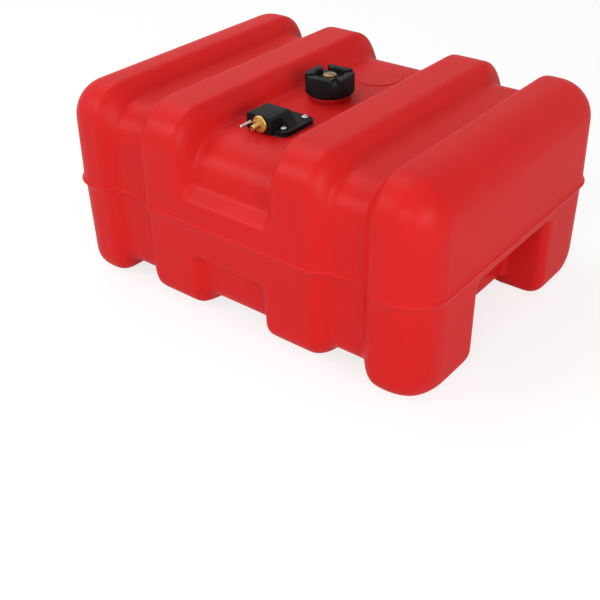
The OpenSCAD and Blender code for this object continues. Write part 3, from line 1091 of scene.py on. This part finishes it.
@dataclass
class Studio:
    """White floor, soft light and the camera.

    Attributes:
        eye: Place of the camera.
        yaw_deg: Turn of the camera from +Y towards -X.
        pitch_deg: Tilt of the camera.
        roll_deg: Roll of the camera.
        focal_px: Focal length in pixels of the square frame.
        frame_px: Width of the frame in pixels.
        sensor_mm: Width of the camera's sensor.
        lamps: The lamps round the tank.
        aim: Point that they face.
        floor_size: Side of the floor.
        floor_lit: Colour of the floor for the rays that light the tank.
        floor_shown: Colour of the floor for the rays that show it.
        floor_glow: Light that the shown floor adds, so that it comes out white.
        world_strength: Strength of the light from all round.
    """

    eye: Point = (615.3 * MM, -814.4 * MM, 622.9 * MM)
    yaw_deg: float = 39.26
    pitch_deg: float = -33.75
    roll_deg: float = -1.42
    focal_px: float = 947.0
    frame_px: float = 600.0
    sensor_mm: float = 36.0
    lamps: tuple[Softbox, ...] = (
        Softbox("front_left", place=(-1.6, -1.9, 1.6), size=(1.1, 0.7), watts=20),
        Softbox("front", place=(0.6, -2.1, 1.2), size=(1.3, 0.6), watts=12),
        Softbox("front_right", place=(1.9, -0.9, 0.8), size=(1.1, 0.7), watts=18),
        Softbox("top", place=(-1.1, 0.2, 2.1), size=(1.4, 1.4), watts=14),
    )
    aim: Point = (0.0, 0.0, 0.12)
    floor_size: float = 12.0
    floor_lit: str = "#d8d8d8"
    floor_shown: str = "#949494"
    floor_glow: float = 0.76
    world_strength: float = 0.37

    def build(self) -> None:
        """Builds the whole studio."""
        self.camera()
        self.floor()
        self.world()
        for lamp in self.lamps:
            lamp.hang(self.aim)

    def camera(self) -> None:
        """Sets the camera at the photograph's view."""
        data = bpy.data.cameras.new("camera")
        data.sensor_width = self.sensor_mm
        data.lens = self.focal_px * self.sensor_mm / self.frame_px
        obj = bpy.data.objects.new("camera", data)
        turn = Matrix.Rotation(math.radians(self.yaw_deg), 4, "Z")
        tilt = Matrix.Rotation(math.radians(90 + self.pitch_deg), 4, "X")
        roll = Matrix.Rotation(math.radians(self.roll_deg), 4, "Z")
        obj.matrix_world = Matrix.Translation(self.eye) @ turn @ tilt @ roll
        bpy.context.scene.collection.objects.link(obj)
        bpy.context.scene.camera = obj

    def seen(self, tree: bpy.types.NodeTree) -> bpy.types.NodeSocket:
        """Tells the rays that show the background from those that light the object.

        Args:
            tree: Node tree that asks.

        Returns:
            A socket that is 1 for camera rays and for mirrored and transmitted ones.
        """
        path = add_node(tree, "ShaderNodeLightPath").outputs
        mirrored = add_node(
            tree,
            "ShaderNodeMath",
            {0: path["Is Glossy Ray"], 1: path["Is Transmission Ray"]},
            operation="MAXIMUM",
        ).outputs[0]
        return add_node(
            tree, "ShaderNodeMath", {0: path["Is Camera Ray"], 1: mirrored}, operation="MAXIMUM"
        ).outputs[0]

    def floor(self) -> None:
        """Lays a white floor that keeps the object's shadow."""
        material, tree = new_material("matt_white_paper")
        lit = add_node(tree, "ShaderNodeBsdfDiffuse", {"Color": linear(self.floor_lit)}).outputs[0]
        soft = add_node(tree, "ShaderNodeBsdfDiffuse", {"Color": linear(self.floor_shown)}).outputs[0]
        glow = add_node(tree, "ShaderNodeEmission", {"Strength": self.floor_glow}).outputs[0]
        shown = add_node(tree, "ShaderNodeAddShader", {0: soft, 1: glow}).outputs[0]
        mixed = add_node(tree, "ShaderNodeMixShader", {0: self.seen(tree), 1: lit, 2: shown}).outputs[0]
        add_node(tree, "ShaderNodeOutputMaterial", {"Surface": mixed})
        bm = bmesh.new()
        bmesh.ops.create_grid(bm, x_segments=1, y_segments=1, size=self.floor_size / 2)
        mesh = bpy.data.meshes.new("floor")
        bm.to_mesh(mesh)
        bm.free()
        mesh.materials.append(material)
        obj = bpy.data.objects.new("floor", mesh)
        bpy.context.scene.collection.objects.link(obj)

    def world(self) -> None:
        """Sets soft light from all round and a white background."""
        world = bpy.data.worlds.new("studio")
        world.use_nodes = True
        tree = world.node_tree
        tree.nodes.clear()
        light, white = (
            add_node(tree, "ShaderNodeBackground", {"Color": linear(WHITE), "Strength": strength}).outputs[0]
            for strength in (self.world_strength, 1.0)
        )
        mixed = add_node(tree, "ShaderNodeMixShader", {0: self.seen(tree), 1: light, 2: white}).outputs[0]
        add_node(tree, "ShaderNodeOutputWorld", {"Surface": mixed})
        bpy.context.scene.world = world


# Polyethylene from a blow mould: waxy, half glossy, with a faint pebble, drawn at 3 mm to show.
RED = MouldedPlastic(
    name="blow_moulded_polyethylene",
    colour="#d81d1d",
    shade="#cf1818",
    roughness=0.62,
    spread=0.04,
    ior=1.53,
    specular=0.08,
    pebble_mm=3.0,
    pebble_depth_mm=0.02,
    flow_mm=70.0,
    skin=0.18,
    skin_roughness=0.36,
)
# The neck's polyethylene, painted a deeper red than the tank: painted shade for the shadow under the cap.
NECK_PAINTED_SHADE = MouldedPlastic(
    name="moulded_polyethylene_neck_painted_shade",
    colour="#a81313",
    shade="#9c1010",
    roughness=0.45,
    spread=0.04,
    ior=1.53,
    specular=0.22,
    pebble_mm=2.0,
    pebble_depth_mm=0.02,
    flow_mm=20.0,
)
# Glass-filled nylon from an injection mould: black with a dry half gloss.
BLACK = MouldedPlastic(
    name="moulded_black_nylon",
    colour="#101012",
    shade="#0b0b0c",
    roughness=0.58,
    spread=0.06,
    ior=1.53,
    specular=0.12,
    pebble_mm=1.2,
    pebble_depth_mm=0.03,
    flow_mm=14.0,
)
# Natural nylon: a milky white.
PALE = MouldedPlastic(
    name="moulded_natural_nylon",
    colour="#e6e1d2",
    shade="#dad4c2",
    roughness=0.45,
    spread=0.04,
    ior=1.53,
    specular=0.5,
    pebble_mm=1.2,
    pebble_depth_mm=0.02,
    flow_mm=10.0,
)
# Nitrile rubber: dark and dull.
RUBBER = MouldedPlastic(
    name="moulded_nitrile_rubber",
    colour="#262627",
    shade="#1d1d1e",
    roughness=0.72,
    spread=0.05,
    ior=1.52,
    specular=0.4,
    pebble_mm=1.0,
    pebble_depth_mm=0.03,
    flow_mm=8.0,
)
# Turned brass: yellow, with tool rings about half a millimetre apart, drawn at 0.8 mm to show.
VENT_BRASS = TurnedMetal(
    name="turned_brass_vent",
    colour="#917d5c",
    dull="#7a684a",
    roughness=0.42,
    ring_mm=0.8,
    ring_depth_mm=0.01,
    axis=Axis.Z,
    centre=(FILLER_X, FILLER_Y, 0.0),
)
# The same brass, cleaner, on the nozzle.
NIPPLE_BRASS = TurnedMetal(
    name="turned_brass_nipple",
    colour="#cfab66",
    dull="#b89350",
    roughness=0.38,
    ring_mm=0.8,
    ring_depth_mm=0.01,
    axis=Axis.Y,
    centre=NOZZLE_AXIS,
)
# Zinc-plated steel: bright and slightly blue.
STEEL = TurnedMetal(
    name="zinc_plated_steel",
    colour="#bdbfc2",
    dull="#a3a6aa",
    roughness=0.3,
    ring_mm=0.8,
    ring_depth_mm=0.005,
    axis=Axis.Y,
    centre=NOZZLE_AXIS,
)


def main() -> None:
    """Builds the tank's pieces and the studio."""
    logging.basicConfig(level=logging.INFO)
    bpy.context.scene.view_settings.view_transform = "Standard"
    red, black, rubber = RED.material(), BLACK.material(), RUBBER.material()
    vent_brass, nipple_brass, steel = VENT_BRASS.material(), NIPPLE_BRASS.material(), STEEL.material()
    TankMoulding().build(red)
    CapAssembly().build(NECK_PAINTED_SHADE.material(), black, rubber, vent_brass, steel)
    OutletAssembly().build(black, rubber, nipple_brass, steel, PALE.material())
    Studio().build()


if __name__ == "__main__":
    main()
